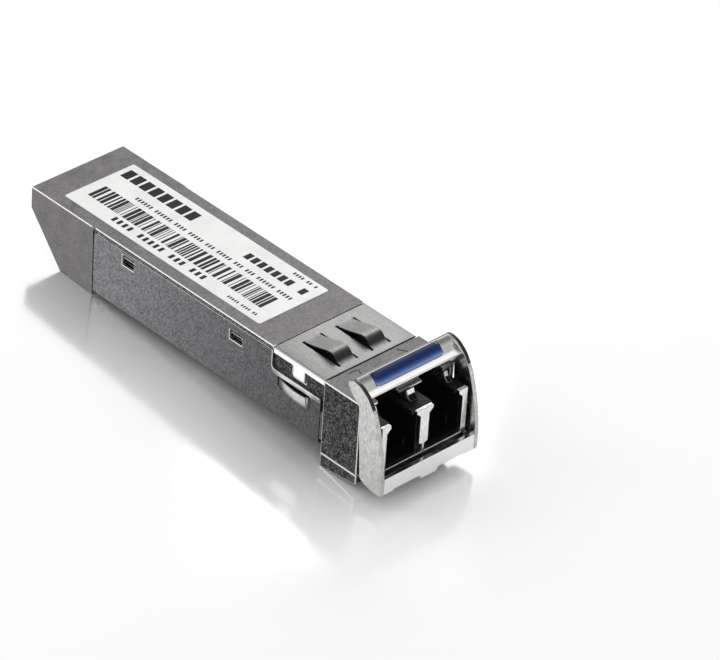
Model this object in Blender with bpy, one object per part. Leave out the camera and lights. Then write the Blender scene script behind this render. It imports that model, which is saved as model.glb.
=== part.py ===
"""Pluggable optical transceiver module with a duplex LC receptacle and a bail latch.

Frame: metres, +Z up. The length lies along Y, with the optical ports at -Y and the board edge at +Y.
X = 0 is the plane between the two ports, and Z = 0 is the lowest point, under the nose.

Lengthwise places are given as d, the distance in millimetres from the rear end towards the ports, and
heights as h, in millimetres above the underside of the body. yz() turns the two into the frame.
"""

import math

import bmesh
import bpy
from mathutils import Vector

MM = 0.001

# Driving sizes, millimetres.
LENGTH = 57.0  # rear end to the front of the bail
BODY_HALF = 6.7  # the part that slides into a cage
BODY_TOP = 8.5
NOSE_HALF = 6.85  # the part that stays outside the cage
NOSE_START = 47.5  # the shoulder that stops at the cage
NOSE_END = 53.0
NOSE_BOTTOM_REAR = -2.4
NOSE_BOTTOM_FRONT = -1.75
NOSE_SPLIT = -0.65  # where the two castings meet on the nose
HOUSING_SPLIT = 4.0  # where they meet along the body
CAVITY_HALF = 5.6
CAVITY_TOP = 7.5
FLOOR_TOP = 1.25
REAR_SKIRT = 10.4  # the open underside at the board's edge
SHEET = 0.25
PORT_PITCH = 6.25
PORT_AXIS_H = 3.7
PORT_HALF = 2.37
PORT_FLOOR = 1.2
LEDGE_TOP = 6.7
FRAME_BACK, FRAME_FRONT = 55.4, 55.9
BAIL_HALF = 7.15
BAIL_SHEET = 0.55
BAIL_PIVOT = (55.1, 0.1)  # d, h
LEVER_PIVOT = (50.0, -1.3)
LEVER_HALF = 1.3
BOSS_SHOULDER = 45.0
BOSS_BOTTOM = -0.45
BOARD_BOTTOM = 2.25
BOARD_TOP = 3.25
GAP = 0.05
FAR = 9.0  # past the outside of the part, for cutters

REAR_Y = LENGTH / 2
LIFT = -NOSE_BOTTOM_REAR

SIDES = (("left", -1), ("right", 1))


# ---------------------------------------------------------------- shapes


def yz(d, h):
    return (REAR_Y - d) * MM, (h + LIFT) * MM


def material(name, color, metallic, roughness):
    made = bpy.data.materials.new(name)
    made.use_nodes = True
    shader = made.node_tree.nodes["Principled BSDF"]
    shader.inputs["Base Color"].default_value = (*color, 1)
    shader.inputs["Metallic"].default_value = metallic
    shader.inputs["Roughness"].default_value = roughness
    return made


def add(name, mesh, finish=None):
    """A new object. Without a finish it is a helper that a Boolean uses."""
    obj = bpy.data.objects.new(name, mesh)
    bpy.context.scene.collection.objects.link(obj)
    if finish is None:
        obj.hide_render = True
        obj.display_type = "WIRE"
    else:
        obj.data.materials.append(material(name, *finish))
    return obj


def prism(name, outline, axis, low, high, finish=None):
    """An outline carried along one axis.

    Along x the outline holds (d, h), along d it holds (x, h), and along h it holds (x, d).
    """
    place = {
        "x": lambda a, b, t: (t * MM, *yz(a, b)),
        "d": lambda a, b, t: (a * MM, *yz(t, b)),
        "h": lambda a, b, t: (a * MM, *yz(b, t)),
    }[axis]
    shape = bmesh.new()
    near = [shape.verts.new(place(a, b, low)) for a, b in outline]
    far = [shape.verts.new(place(a, b, high)) for a, b in outline]
    shape.faces.new(near)
    shape.faces.new(far)
    for i, start in enumerate(near):
        end = (i + 1) % len(near)
        shape.faces.new((start, near[end], far[end], far[i]))
    bmesh.ops.recalc_face_normals(shape, faces=shape.faces)
    mesh = bpy.data.meshes.new(name)
    shape.to_mesh(mesh)
    shape.free()
    return add(name, mesh, finish)


def box(name, x, d, h, finish=None):
    corners = [(x[0], h[0]), (x[1], h[0]), (x[1], h[1]), (x[0], h[1])]
    return prism(name, corners, "d", d[0], d[1], finish)


def arc(center, radius, start, end, steps):
    """Points on a circle, from one angle to another in degrees."""
    angles = [math.radians(start + (end - start) * i / steps) for i in range(steps + 1)]
    return [(center[0] + radius * math.cos(a), center[1] + radius * math.sin(a)) for a in angles]


def circle(center, radius, steps=32):
    return arc(center, radius, 0, 360, steps)[:-1]


def spline(points, steps=4):
    """A smooth open run through the points, each stretch in a few steps (Catmull-Rom)."""
    ends = [points[0], *points, points[-1]]
    run = []
    for before, start, end, after in zip(ends, ends[1:], ends[2:], ends[3:]):
        for i in range(steps):
            t = i / steps
            weights = (-t + 2 * t**2 - t**3, 2 - 5 * t**2 + 3 * t**3, t + 4 * t**2 - 3 * t**3, t**3 - t**2)
            near = (before, start, end, after)
            run.append(tuple(sum(w * point[k] for w, point in zip(weights, near)) / 2 for k in (0, 1)))
    return [*run, points[-1]]


def turned(name, profile, x, finish=None, steps=40):
    """A round piece about an axis along the length, from (d, radius) points; it closes on the axis."""
    shape = bmesh.new()
    rings = []
    for d, radius in profile:
        y, z = yz(d, PORT_AXIS_H)
        if radius == 0:
            rings.append([shape.verts.new((x * MM, y, z))])
            continue
        angles = [math.tau * i / steps for i in range(steps)]
        rings.append(
            [
                shape.verts.new((x * MM + radius * MM * math.cos(a), y, z + radius * MM * math.sin(a)))
                for a in angles
            ]
        )
    for one, two in zip(rings, rings[1:]):
        for i in range(steps):
            j = (i + 1) % steps
            corners = [one[i % len(one)], one[j % len(one)], two[j % len(two)], two[i % len(two)]]
            shape.faces.new(list(dict.fromkeys(corners)))
    bmesh.ops.recalc_face_normals(shape, faces=shape.faces)
    mesh = bpy.data.meshes.new(name)
    shape.to_mesh(mesh)
    shape.free()
    mesh.shade_smooth()
    mesh.set_sharp_from_angle(angle=math.radians(35))
    return add(name, mesh, finish)


def boolean(target, tools, operation):
    for tool in tools:
        step = target.modifiers.new(tool.name, "BOOLEAN")
        step.operation = operation
        step.object = tool
        step.solver = "EXACT"


def cut(target, *tools):
    boolean(target, tools, "DIFFERENCE")


def join(target, *tools):
    boolean(target, tools, "UNION")


def soften(obj, width, segments=2):
    """Small rounds on the edges of a plain shape."""
    step = obj.modifiers.new("edges", "BEVEL")
    step.width = width * MM
    step.segments = segments
    step.limit_method = "ANGLE"


def both_sides(make, *args):
    """Calls make with each side's name and sign, and lists what it returns."""
    return [make(side, sign, *args) for side, sign in SIDES]


def side_box(name, x, d, h):
    """The same cutter or block on the left and on the right."""
    return both_sides(lambda side, sign: box(f"{name}_{side}", sorted((sign * x[0], sign * x[1])), d, h))


def side_prism(name, outline, low, high):
    """An outline of (d, h) points carried across both sides, from low to high on x."""
    return both_sides(lambda side, sign: prism(f"{name}_{side}", outline, "x", sign * low, sign * high))


def band(center_line, thickness):
    """The outline of a sheet of even thickness whose outer face follows the points."""
    points = [Vector(point) for point in center_line]
    inner = []
    for i, point in enumerate(points):
        before = points[max(i - 1, 0)]
        after = points[min(i + 1, len(points) - 1)]
        along = (after - before).normalized()
        inner.append(point + Vector((along.y, -along.x)) * thickness)
    return [tuple(point) for point in points] + [tuple(point) for point in reversed(inner)]


def pivot_at(obj, pivot):
    """Moves the object's origin to a pivot (d, h) and leaves its shape where it is."""
    place = Vector((0, *yz(*pivot)))
    for vertex in obj.data.vertices:
        vertex.co -= place
    obj.location = place


# ---------------------------------------------------------------- finishes

CAST_ZINC = ((0.42, 0.41, 0.40), 0.9, 0.45)
SHEET_STEEL = ((0.46, 0.45, 0.44), 1.0, 0.38)
SPRING_STEEL = ((0.60, 0.59, 0.57), 1.0, 0.32)
BRIGHT_NICKEL = ((0.86, 0.85, 0.83), 1.0, 0.22)
PIN_STEEL = ((0.70, 0.70, 0.70), 1.0, 0.25)
BLACK_MOULDING = ((0.012, 0.012, 0.012), 0.0, 0.5)
BLUE_MOULDING = ((0.02, 0.045, 0.25), 0.0, 0.3)
LABEL_FILM = ((0.88, 0.88, 0.87), 0.0, 0.45)
BOARD_GREEN = ((0.02, 0.16, 0.07), 0.0, 0.4)
CHIP_BLACK = ((0.02, 0.02, 0.022), 0.0, 0.5)
AMBER_FILM = ((0.62, 0.30, 0.06), 0.0, 0.4)
GOLD_PLATE = ((0.83, 0.62, 0.26), 1.0, 0.25)
CERAMIC = ((0.85, 0.84, 0.80), 0.0, 0.3)
PAD_GREY = ((0.40, 0.46, 0.52), 0.0, 0.8)
FERRITE = ((0.06, 0.06, 0.065), 0.0, 0.6)

# ---------------------------------------------------------------- castings

# The windows in the wrap, each with a boss of the casting behind it: d range, h range.
BOSSES = (((15.2, 17.1), (6.2, 7.5)), ((32.6, 34.6), (5.9, 7.1)))
CLIP = (39.47, NOSE_START - 0.16)  # the contact clip's stretch of the body
HOOK_D = (42.6, 44.3)  # the hook on each side of the clip
HOOK_BOTTOM = 6.55
TOP_FINGER_X = (1.25, 3.5)  # the sprung bridges on the clip
TOP_FINGER_D = (40.7, 46.5)
TOP_SLOT_X = (0.97, 3.78)  # the holes that they are lanced out of
CLIP_SHEET = 0.18
CLIP_SEAT = BODY_TOP - CLIP_SHEET - 0.02
LIP_BOTTOM = 8.08
WRAP_SEAT = BODY_HALF - SHEET - 0.03
LATCH_SLOT = (1.66, 4.7)  # x range of the slots for the plugs' latches
STEM_BACK = 52.0


def hook_pocket():
    """The recess that the clip's hook drops into, a little larger than the hook at its rear and below."""
    radius = 0.4
    turn = arc((HOOK_D[0] - 0.3 + radius, HOOK_BOTTOM - 0.3 + radius), radius, 180, 270, 5)
    return [(HOOK_D[0] - 0.3, 9), *turn, (HOOK_D[1] + 0.05, HOOK_BOTTOM - 0.3), (HOOK_D[1] + 0.05, 9)]


def latch_stems():
    """The catches that the plugs' latches hook behind: a curved stem under each bar of the nose's roof."""
    front = spline([(53.3, 8.1), (53.42, 7.75), (53.62, 7.3), (53.92, 6.98), (54.2, 6.76)], 3)
    stem = [(STEM_BACK, 8.1), *front, (STEM_BACK, 6.76)]
    bar = (STEM_BACK, 53.45), (7.97, 8.28)
    made = [prism("stem_middle", stem, "x", -0.6, 0.6), box("bar_middle", (-1.66, 1.66), *bar)]
    for side, sign in SIDES:
        made.append(prism(f"stem_{side}", stem, "x", sign * 4.85, sign * 5.5))
        made.append(box(f"bar_{side}", sorted((sign * 4.7, sign * 6.0)), (52.0, 53.45), (7.97, 8.42)))
    return made


def upper_housing():
    """The zinc top casting: roof, rear skirts, nose walls and the catches over the ports."""
    body = box("upper_housing", (-NOSE_HALF, NOSE_HALF), (0, NOSE_END), (-0.6, BODY_TOP), CAST_ZINC)
    cut(
        body,
        *side_box("body_side", (BODY_HALF, FAR), (-1, NOSE_START), (-4, 10)),
        *side_box("wrap_seat", (WRAP_SEAT, FAR), (REAR_SKIRT - GAP, NOSE_START), (-4, LIP_BOTTOM)),
        *side_box("roof_lip", (6.62, FAR), (REAR_SKIRT - GAP, NOSE_START), (7.9, 10)),
        *side_box("clip_side", (WRAP_SEAT, FAR), (CLIP[0] - 0.08, NOSE_START), (5, 10)),
        box("clip_top", (-FAR, FAR), (CLIP[0] - 0.08, NOSE_START), (CLIP_SEAT, 10)),
        *side_box("finger_pocket", TOP_SLOT_X, (41.0, 46.2), (7.75, 10)),
        box("lower_half", (-FAR, FAR), (REAR_SKIRT - GAP, NOSE_START), (-4, HOUSING_SPLIT)),
        box("rear_bay", (-6.0, 6.0), (-1, REAR_SKIRT + 0.5), (-4, CAVITY_TOP)),
        box("cavity", (-CAVITY_HALF, CAVITY_HALF), (REAR_SKIRT, 47.2), (-4, CAVITY_TOP)),
        box("nose_bay", (-6.25, 6.25), (46.9, 60), (-4, 8.0)),
        prism("rear_slant", [(-1, 6.96), (6, -1.16), (-1, -1.16)], "x", -FAR, FAR),
        *side_box("latch_slot", LATCH_SLOT, (51.6, 60), (7, 10)),
        *side_prism("hook_pocket", hook_pocket(), 6.1, FAR),
    )
    bosses = []
    for i, (d, h) in enumerate(BOSSES):
        rim = 0.1
        cut(body, *side_box(f"boss_pocket_{i}", (5.95, 7), (d[0] - rim, d[1] + rim), (h[0] - rim, h[1] + rim)))
        catch = [(5.8, h[0] + 0.3), (6.62, h[1] - 0.42), (6.62, h[1] - 0.3), (5.8, h[1] - 0.3)]
        for side, sign in SIDES:
            outline = [(sign * x, z) for x, z in catch]
            bosses.append(prism(f"boss_{i}_{side}", outline, "d", d[0] + 0.15, d[1] - 0.05))
    join(body, *bosses, *latch_stems())
    return body


def lower_housing():
    """The zinc bottom casting: floor, side walls and the block under the nose that carries the latch."""
    nose_inner = 6.2
    step = 46.95
    body = box(
        "lower_housing",
        (-NOSE_HALF, NOSE_HALF),
        (REAR_SKIRT + 0.1, NOSE_END),
        (NOSE_BOTTOM_REAR, HOUSING_SPLIT - GAP),
        CAST_ZINC,
    )
    fold = 0.3  # clears the round in the wrap's fold
    inside = WRAP_SEAT - fold
    fold_corner = [(inside, -1), (inside, SHEET), (FAR, FAR - inside + SHEET), (FAR, -1)]
    rise = (NOSE_BOTTOM_FRONT - NOSE_BOTTOM_REAR) / (NOSE_END - NOSE_START)
    slope = [(d, NOSE_BOTTOM_REAR + rise * (d - NOSE_START)) for d in (46.0, 56.0)]
    cut(
        body,
        box("under_body", (-FAR, FAR), (0, step), (-4, SHEET + 0.02)),
        box("under_web", (-FAR, FAR), (40, NOSE_START), (-4, NOSE_SPLIT)),
        *side_box("body_wall", (WRAP_SEAT, FAR), (0, step), (-4, 6)),
        *both_sides(
            lambda side, sign: prism(f"fold_{side}", [(sign * x, h) for x, h in fold_corner], "d", 0, step)
        ),
        *side_box("web_side", (nose_inner, FAR), (step - 0.1, 60), (NOSE_SPLIT, 6)),
        box("nose_top", (-FAR, FAR), (47.7, 60), (NOSE_SPLIT, 6)),
        box("tray", (-CAVITY_HALF, CAVITY_HALF), (0, 50), (FLOOR_TOP, 6)),
        box("lever_slot", (-1.6, 1.6), (41.6, 60), (-4, 3)),
        prism("nose_slope", [*slope, (56, -5), (46, -5)], "x", -FAR, FAR),
        prism("lever_pin_hole", circle(LEVER_PIVOT, 0.36), "x", -3.05, 3.05),
    )
    return body


# ---------------------------------------------------------------- sheet metal

WRAP = (REAR_SKIRT + 0.12, 46.9)
WRAP_TOP = 8.0
WRAP_STEP = 39.3
WRAP_LOW_TOP = 5.74
FINGER_H = (3.6, 5.2)  # the openings behind the side contact fingers
FINGER_D = (40.3, 45.3)
SLIT = 0.13


def wrap_section():
    radius = 0.5
    right = [(BODY_HALF, WRAP_TOP), *arc((BODY_HALF - radius, radius), radius, 0, -90, 4)]
    outer = right + [(-x, h) for x, h in reversed(right)]
    inner_half = BODY_HALF - SHEET
    inner_radius = radius - SHEET
    inner_bend = arc((inner_half - inner_radius, radius), inner_radius, 0, -90, 4)
    inner_right = [(inner_half, WRAP_TOP), *inner_bend]
    inner = inner_right + [(-x, h) for x, h in reversed(inner_right)]
    return outer + list(reversed(inner))


def wrap_step():
    """The cutter for the side's low front part, with a round where the edge turns."""
    radius = 0.4
    turn = arc((WRAP_STEP + radius, WRAP_LOW_TOP + radius), radius, 180, 270, 5)
    return [(WRAP_STEP, 10), *turn, (50, WRAP_LOW_TOP), (50, 10)]


def wrap_corner():
    """The cutter that rounds the side's upper rear corner."""
    radius, past = 0.5, 0.012
    turn = arc((WRAP[0] + radius - past, WRAP_TOP - radius + past), radius, 185, 85, 6)
    return [(WRAP[0] - 1, WRAP_TOP - radius), *turn, (WRAP[0] + radius, 10), (WRAP[0] - 1, 10)]


def finger_opening():
    """The hole behind a side finger, as (d, h). Its lower edge stays where the finger already stands proud."""
    (rear, front), (low, high) = FINGER_D, FINGER_H
    return [
        (rear, high),
        (front, high),
        (front, low),
        (rear + 1.5, low),
        (rear + 0.5, low + 0.35),
        (rear, low + 0.5),
    ]


def side_finger(side, sign):
    """The contact finger: the sheet is slit along its upper and rear edges and pressed outwards.

    It rises from the rear, ends in a steep wall at the front and dies out below. Its lower and front borders
    lie inside the sheet's thickness.
    """
    reach, sunk, sheet, border = 0.46, 0.06, 0.13, 0.6
    wall_start, wall_end = 0.87, 0.93
    rows, columns = 7, 24
    low, rear, front = FINGER_H[0] - border, FINGER_D[0] + SLIT, FINGER_D[1] + border / 2
    shape = bmesh.new()
    skins = []
    for inset in (0.0, sheet):
        skin = []
        for i in range(rows + 1):
            up = i / rows
            h = low + (FINGER_H[1] - SLIT - low) * up
            line = []
            for j in range(columns + 1):
                along = j / columns
                d = rear + (front - rear) * along
                wall = min(1, max(0, (wall_end - along) / (wall_end - wall_start)))
                out = reach * math.sin(0.8 * math.pi * along) * wall * math.sin(math.pi / 2 * up) ** 1.5
                line.append(shape.verts.new((sign * (BODY_HALF - sunk + out - inset) * MM, *yz(d, h))))
            skin.append(line)
        skins.append(skin)
    outer, inner = skins
    for skin in skins:
        for low, high in zip(skin, skin[1:]):
            for j in range(columns):
                shape.faces.new((low[j], low[j + 1], high[j + 1], high[j]))
    rims = [
        (outer[0], inner[0]),
        (outer[-1], inner[-1]),
        ([line[0] for line in outer], [line[0] for line in inner]),
        ([line[-1] for line in outer], [line[-1] for line in inner]),
    ]
    for one, two in rims:
        for j in range(len(one) - 1):
            shape.faces.new((one[j], one[j + 1], two[j + 1], two[j]))
    bmesh.ops.recalc_face_normals(shape, faces=shape.faces)
    bmesh.ops.triangulate(shape, faces=shape.faces)
    mesh = bpy.data.meshes.new(f"finger_{side}")
    shape.to_mesh(mesh)
    shape.free()
    return add(f"finger_{side}", mesh)


def wrap_shell():
    """The folded sheet that closes the body: a U round the bottom and the sides, clipped over the bosses."""
    shell = prism("wrap_shell", wrap_section(), "d", *WRAP, SHEET_STEEL)
    windows = []
    for i, (d, h) in enumerate(BOSSES):
        windows += side_box(f"window_{i}", (6, FAR), d, h)
    cut(
        shell,
        *windows,
        *side_prism("step", wrap_step(), 6, FAR),
        *side_prism("corner", wrap_corner(), 6, FAR),
        *side_prism("opening", finger_opening(), 6, FAR),
        box("boss_opening", (-1.6, 1.6), (42.0, 50), (-2, 1)),
    )
    join(shell, *both_sides(side_finger))
    return shell


def clip_section():
    radius = 0.35
    half = 6.68
    right = [(half, 7.8), *arc((half - radius, BODY_TOP - radius), radius, 0, 90, 4)]
    outer = right + [(-x, h) for x, h in reversed(right)]
    inner_half = half - CLIP_SHEET
    inner_radius = radius - CLIP_SHEET
    inner_bend = arc((inner_half - inner_radius, BODY_TOP - radius), inner_radius, 0, 90, 4)
    inner_right = [(inner_half, 7.8), *inner_bend]
    inner = inner_right + [(-x, h) for x, h in reversed(inner_right)]
    return outer + list(reversed(inner))


def top_finger(side, sign):
    """A bridge lanced out of the clip: a long rise from the rear, a rounded crest and a steep fall."""
    rear, front = TOP_FINGER_D
    rise = [(rear - 0.3, -0.01), (rear + 0.4, 0.05), (42.5, 0.36), (43.7, 0.70), (44.4, 0.86), (44.9, 0.9)]
    fall = [(45.3, 0.78), (45.65, 0.42), (45.95, 0.12), (front, 0.0), (front + 0.3, -0.01)]
    outer = [(d, BODY_TOP + up) for d, up in spline([*rise, *fall], 3)]
    return prism(f"top_finger_{side}", band(outer, 0.16), "x", sign * TOP_FINGER_X[0], sign * TOP_FINGER_X[1])


def emi_clip():
    """The contact clip over the front of the body, with two sprung bridges and a hook on each side."""
    clip = prism("emi_clip", clip_section(), "d", *CLIP, SPRING_STEEL)
    hooks = side_box("hook", (6.5, 6.68), HOOK_D, (HOOK_BOTTOM, 7.95))
    cut(clip, *side_box("finger_slot", TOP_SLOT_X, TOP_FINGER_D, (7.9, 10)))
    join(clip, *hooks, *both_sides(top_finger))
    return clip


# ---------------------------------------------------------------- receptacle


def port_outline(low_corner):
    """The opening for one plug, seen from the front, with a guide rail in each lower corner."""
    middle = PORT_PITCH / 2
    left, right = middle - PORT_HALF, middle + PORT_HALF
    top = 6.2
    if not low_corner:
        return [(left, PORT_FLOOR), (right, PORT_FLOOR), (right, top), (left, top)]
    rail, rail_top = 0.2, 2.1
    return [
        (left + rail, PORT_FLOOR),
        (right - rail, PORT_FLOOR),
        (right - rail, rail_top - 0.15),
        (right, rail_top),
        (right, top),
        (left, top),
        (left, rail_top),
        (left + rail, rail_top - 0.15),
    ]


def receptacle():
    """The black moulding that guides both plugs and holds the optical barrels in line."""
    block = box("receptacle", (-6.2, 6.2), (47.75, 55.7), (-0.58, 7.95), BLACK_MOULDING)
    ledge = LEDGE_TOP - 0.02
    tools = [
        box("above_ledge", (-FAR, FAR), (STEM_BACK - 0.08, 60), (ledge, 10)),
        box("behind_frame", (-FAR, FAR), (FRAME_BACK - 0.05, 60), (1.0, 10)),
        box("lever_relief", (-1.6, 1.6), (47, 51), (-1, 0.7)),
    ]
    for side, sign in SIDES:
        mirrored = [[(sign * x, h) for x, h in port_outline(low)] for low in (False, True)]
        tools += [
            prism(f"port_mouth_{side}", mirrored[0], "d", 53.8, 60),
            prism(f"port_{side}", mirrored[1], "d", 49.0, 53.9),
            box(f"latch_channel_{side}", sorted((sign * 1.5, sign * 4.75)), (49.4, 60), (6.0, 10)),
            prism(f"barrel_hole_{side}", circle((sign * PORT_PITCH / 2, PORT_AXIS_H), 1.5), "d", 47, 50),
            prism(f"pin_hole_{side}", circle(BAIL_PIVOT, 0.455), "x", sign * 5.65, sign * 7),
        ]
    cut(block, *tools)
    return block


def port_frame():
    """The bright frame at the port mouths: three posts with overhanging ledges on one thin sill.

    The middle post stops short of the sill and stands on a narrow neck.
    """
    right = [
        (1.2, LEDGE_TOP),
        (1.2, 6.35),
        (0.62, 5.85),
        (0.62, 2.35),
        (0.14, 2.2),
        (0.14, PORT_FLOOR),
        (5.5, PORT_FLOOR),
        (5.5, 5.75),
        (4.95, 6.28),
        (4.95, LEDGE_TOP),
        (6.2, LEDGE_TOP),
        (6.2, 1.02),
    ]
    outline = right + [(-x, h) for x, h in reversed(right)]
    return prism("port_frame", outline, "d", FRAME_BACK, FRAME_FRONT, BRIGHT_NICKEL)


# ---------------------------------------------------------------- optics

BARREL_TIP = 49.6


def optics(side, sign, name):
    """One optical subassembly: a turned barrel with its ferrule bore, and the sealed can behind it."""
    x = sign * PORT_PITCH / 2
    turned(
        f"{name}_barrel",
        [
            (41.5, 0),
            (41.5, 2.0),
            (44.5, 2.0),
            (44.5, 2.2),
            (45.3, 2.2),
            (45.3, 1.75),
            (46.4, 1.75),
            (46.4, 1.45),
            (BARREL_TIP - 0.2, 1.45),
            (BARREL_TIP, 1.25),
            (BARREL_TIP, 0.75),
            (BARREL_TIP - 0.15, 0.635),
            (44.0, 0.635),
            (44.0, 0),
        ],
        x,
        PIN_STEEL,
    )
    turned(
        f"{name}_can",
        [(37.9, 0), (37.9, 2.35), (38.9, 2.35), (38.9, 1.95), (41.25, 1.95), (41.45, 1.75), (41.45, 0)],
        x,
        GOLD_PLATE,
    )
    # The flexible circuit comes down the back of the can and turns onto the board.
    flex = [(37.7, 5.2), (37.7, 3.95), (37.5, 3.65), (37.2, 3.45), (36.8, 3.4), (33.2, 3.4)]
    prism(f"{name}_flex", band(flex, -0.1), "x", x - 1.6, x + 1.6, AMBER_FILM)


def barrel_clamp():
    """The retainer that stands across the housing and seats both barrels by their flanges."""
    clamp = box("barrel_clamp", (-5.5, 5.5), (43.0, 44.4), (1.6, 7.4), SHEET_STEEL)
    tools = []
    for side, sign in SIDES:
        x = sign * PORT_PITCH / 2
        radius = 2.06
        round_top = arc((x, PORT_AXIS_H), radius, 0, 180, 16)
        tools.append(prism(f"saddle_{side}", [(x + radius, 0), *round_top, (x - radius, 0)], "d", 42, 46))
    cut(clamp, *tools)
    return clamp


# ---------------------------------------------------------------- board

BOARD_REAR = 3.2
BOARD_FRONT = 37.2
TONGUE_HALF = 4.6
CHIPS = {
    # name: (x, d) of the middle, (width, length, height), finish
    "driver_ic": ((-2.6, 28.0), (4.0, 4.0, 0.85), CHIP_BLACK),
    "amplifier_ic": ((2.7, 28.6), (3.0, 3.0, 0.85), CHIP_BLACK),
    "memory_ic": ((-1.9, 19.5), (5.0, 4.4, 1.1), CHIP_BLACK),
    "supply_inductor": ((3.5, 19.0), (2.6, 2.6, 1.3), FERRITE),
    "receive_inductor": ((3.5, 23.4), (2.0, 2.5, 1.3), FERRITE),
    "input_capacitor": ((3.6, 14.8), (1.3, 2.1, 1.2), CERAMIC),
    "output_capacitor": ((-4.2, 14.8), (1.3, 2.1, 1.2), CERAMIC),
    "crystal": ((0.2, 24.2), (2.5, 2.0, 0.7), SPRING_STEEL),
}


def circuit_board():
    """The board: full width inside the housing, and a narrower tongue for the host's connector."""
    wide = 5.4
    shoulder = 11.2
    corner = 0.5
    right = [
        (wide, BOARD_FRONT),
        (wide, shoulder),
        (TONGUE_HALF, shoulder),
        (TONGUE_HALF, BOARD_REAR + corner),
        (TONGUE_HALF - corner, BOARD_REAR),
    ]
    outline = right + [(-x, d) for x, d in reversed(right)]
    return prism("circuit_board", outline, "h", BOARD_BOTTOM, BOARD_TOP, BOARD_GREEN)


def board_parts():
    for name, ((x, d), (width, length, height), finish) in CHIPS.items():
        low = BOARD_TOP + 0.02
        chip = box(
            name,
            (x - width / 2, x + width / 2),
            (d - length / 2, d + length / 2),
            (low, low + height),
            finish,
        )
        soften(chip, 0.08, 1)
    pad = box("thermal_pad", (-3.2, 3.2), (20.0, 31.0), (FLOOR_TOP + 0.02, BOARD_BOTTOM - 0.02), PAD_GREY)
    soften(pad, 0.1)


# ---------------------------------------------------------------- bail

# The side plate's outline as (d, h): a nearly straight front edge that rolls over at the top and comes back
# under itself to the rear edge.
PLATE_FRONT = [(57.0, 1.2), (56.85, 3.0), (56.5, 5.0), (56.1, 6.6), (55.65, 8.0), (55.15, 9.0)]
PLATE_CROWN = [(54.6, 9.85), (53.9, 10.5), (53.1, 10.98), (52.3, 11.15), (51.7, 11.08), (51.35, 10.75)]
PLATE_THROAT = [(51.4, 10.35), (51.8, 9.75), (52.4, 9.2), (52.95, 8.75), (53.15, 8.1)]
PLATE_FOOT = [(53.4, 4.5), (53.8, -0.15), (54.4, -0.6), (55.5, -0.88), (56.75, -1.0), (57.0, -0.8)]
BAIL_PLATE = [*PLATE_FOOT, *spline([*PLATE_FRONT, *PLATE_CROWN, *PLATE_THROAT], 3)]
# The crossbar's section: a lip at the front, a rounded back, and the inner face.
CROSSBAR_OUTER = [(54.12, 9.98), (53.3, 10.2), (52.9, 10.62), (52.4, 11.0), (51.9, 11.1), (51.5, 11.0)]
CROSSBAR_INNER = [(51.35, 10.55), (51.9, 10.55), (52.3, 10.3), (52.7, 9.92), (53.2, 9.68), (54.1, 9.72)]
GRIP_HALF = 4.85
# The grip's bed on the crossbar, (d, h): from its lower front edge to its upper rear edge.
GRIP_BED = ((53.15, 10.15), (52.05, 11.06))
GRIP_DEPTH = 0.2


def bed_frame():
    """The grip bed's lower edge, the way along it, the way out of it, and its width."""
    low, high = (Vector(point) for point in GRIP_BED)
    along = (high - low).normalized()
    out = Vector((-along.y, along.x))
    if out.y < 0:
        out = -out
    return low, along, out, (high - low).length


def grip_outline(margin):
    """A bead with a flat foot sunk in the crossbar and a rounded crown."""
    low, along, out, width = bed_frame()
    points = []
    crown = 0.34
    for i in range(13):
        t = i / 12
        rise = crown * math.sin(math.pi * t) ** 0.6
        points.append(low + along * (width * t) + out * rise)
    foot = [low + along * width - out * (GRIP_DEPTH - margin), low - out * (GRIP_DEPTH - margin)]
    return [tuple(point) for point in points + foot]


def bail_frame():
    """The bail: two side plates, the rolled crossbar that carries the grip, and the bar under the ports."""
    inner = BAIL_HALF - BAIL_SHEET
    frame = prism("bail_frame", BAIL_PLATE, "x", -BAIL_HALF, BAIL_HALF, BRIGHT_NICKEL)
    crossbar = [*spline(CROSSBAR_OUTER, 3), *spline(CROSSBAR_INNER, 3)]
    bar_top, bar_back = 1.0, 56.45
    sill = [
        (-7.0, -1.0),
        (-5.3, -1.0),
        (-5.0, -0.82),
        (-1.35, -0.82),
        (-1.1, -1.28),
        (1.1, -1.28),
        (1.35, -0.82),
        (5.0, -0.82),
        (5.3, -1.0),
        (7.0, -1.0),
        (7.0, bar_top),
        (-7.0, bar_top),
    ]
    low, along, out, width = bed_frame()
    groove = [
        low - along * 0.03 - out * (GRIP_DEPTH + 0.02),
        low + along * (width + 0.03) - out * (GRIP_DEPTH + 0.02),
        low + along * (width + 0.03) + out,
        low - along * 0.03 + out,
    ]
    cut(frame, box("between_plates", (-inner, inner), (45, 60), (-3, 14)))
    for name, outline, axis, ends in (
        ("crossbar", crossbar, "x", (-inner - 0.2, inner + 0.2)),
        ("sill", sill, "d", (bar_back, LENGTH)),
    ):
        join(frame, prism(name, outline, axis, *ends))
    cut(frame, prism("grip_groove", [tuple(p) for p in groove], "x", -GRIP_HALF - 0.03, GRIP_HALF + 0.03))
    cut(frame, *side_prism("pivot_hole", circle(BAIL_PIVOT, 0.48), inner - 0.3, inner + 0.34))
    return frame


def pivot_pin(side, sign):
    """A pin fixed in the receptacle's wall; its end turns in the blind hole of the bail's plate."""
    return prism(f"pivot_pin_{side}", circle(BAIL_PIVOT, 0.44), "x", sign * 5.7, sign * 6.9, PIN_STEEL)


# ---------------------------------------------------------------- latch


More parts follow.
